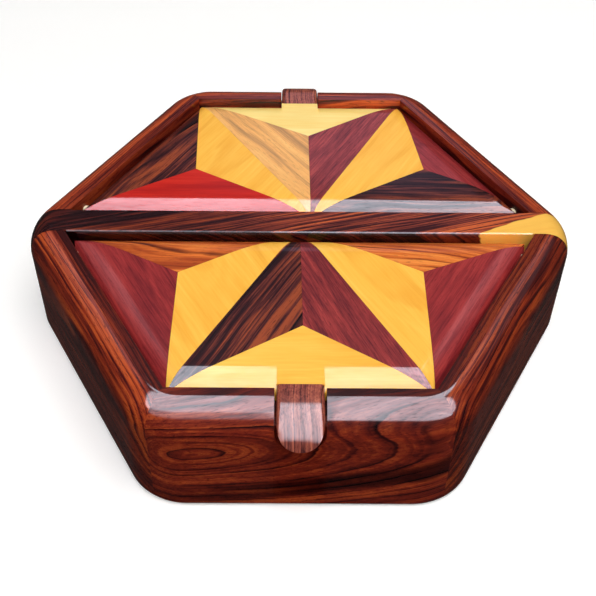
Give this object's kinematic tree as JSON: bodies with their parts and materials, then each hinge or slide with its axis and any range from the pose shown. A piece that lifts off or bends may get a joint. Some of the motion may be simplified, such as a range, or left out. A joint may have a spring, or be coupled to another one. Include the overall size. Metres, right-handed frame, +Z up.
{
  "type": "parquetry jewelry box",
  "caption": "Hexagonal hardwood box with a middle divider and two parquetry lids that swing up on wooden pins, each with a thumb tab.",
  "frame": {"origin": "middle of the underside, under the divider, on the surface that the box stands on", "axes": "+X along the divider, +Y from the front lid towards the rear lid, +Z up"},
  "size_m": [0.199, 0.1958, 0.045],
  "materials": {
    "rosewood": "gloss lacquer over red-brown wood with dark lines",
    "brown_rosewood": "satin, plain brown wood",
    "dark_rosewood": "gloss lacquer over near-black streaked wood",
    "light_rosewood": "gloss lacquer over orange-brown wood with dark lines",
    "purple_rosewood": "gloss lacquer over purple-brown heartwood with a pale sapwood end",
    "purple": "gloss lacquer over purple wood",
    "purple_red": "gloss lacquer over red-purple wood",
    "bright_red": "gloss lacquer over bright red wood",
    "yellow": "gloss lacquer over golden yellow wood",
    "pale_yellow": "gloss lacquer over pale yellow wood",
    "tan": "gloss lacquer over tan wood with grey streaks",
    "pin_wood": "bare pale dowel"
  },
  "bodies": {
    "box": {"divider": "purple_rosewood", "front_left_board": "rosewood", "front_board": "rosewood", "front_right_board": "rosewood", "rear_left_board": "rosewood", "rear_board": "rosewood", "rear_right_board": "rosewood", "front_floor": "brown_rosewood", "rear_floor": "brown_rosewood", "front_left_hinge_pin": "pin_wood", "front_right_hinge_pin": "pin_wood", "rear_left_hinge_pin": "pin_wood", "rear_right_hinge_pin": "pin_wood"},
    "front_lid": {"front_lid_base": "brown_rosewood", "front_lid_left_side_wedge": "purple_red", "front_lid_left_hinge_wedge": "light_rosewood", "front_lid_left_inner_wedge": "yellow", "front_lid_middle_left_wedge": "dark_rosewood", "front_lid_middle_outer_wedge": "yellow", "front_lid_middle_right_wedge": "purple", "front_lid_right_inner_wedge": "yellow", "front_lid_right_hinge_wedge": "light_rosewood", "front_lid_right_side_wedge": "purple_red", "front_lid_tab": "dark_rosewood"},
    "rear_lid": {"rear_lid_base": "brown_rosewood", "rear_lid_left_side_wedge": "dark_rosewood", "rear_lid_left_hinge_wedge": "bright_red", "rear_lid_left_inner_wedge": "yellow", "rear_lid_middle_left_wedge": "tan", "rear_lid_middle_outer_wedge": "pale_yellow", "rear_lid_middle_right_wedge": "purple", "rear_lid_right_inner_wedge": "yellow", "rear_lid_right_hinge_wedge": "dark_rosewood", "rear_lid_right_side_wedge": "purple_red", "rear_lid_tab": "dark_rosewood"}
  },
  "joints": [
    {"name": "front_lid_hinge", "type": "hinge", "parent": "box", "child": "front_lid", "pos_m": [0, -0.0129, 0.0397], "axis": [-1, 0, 0], "range_deg": [0, 95]},
    {"name": "rear_lid_hinge", "type": "hinge", "parent": "box", "child": "rear_lid", "pos_m": [0, 0.0129, 0.0397], "axis": [1, 0, 0], "range_deg": [0, 95]}
  ]
}
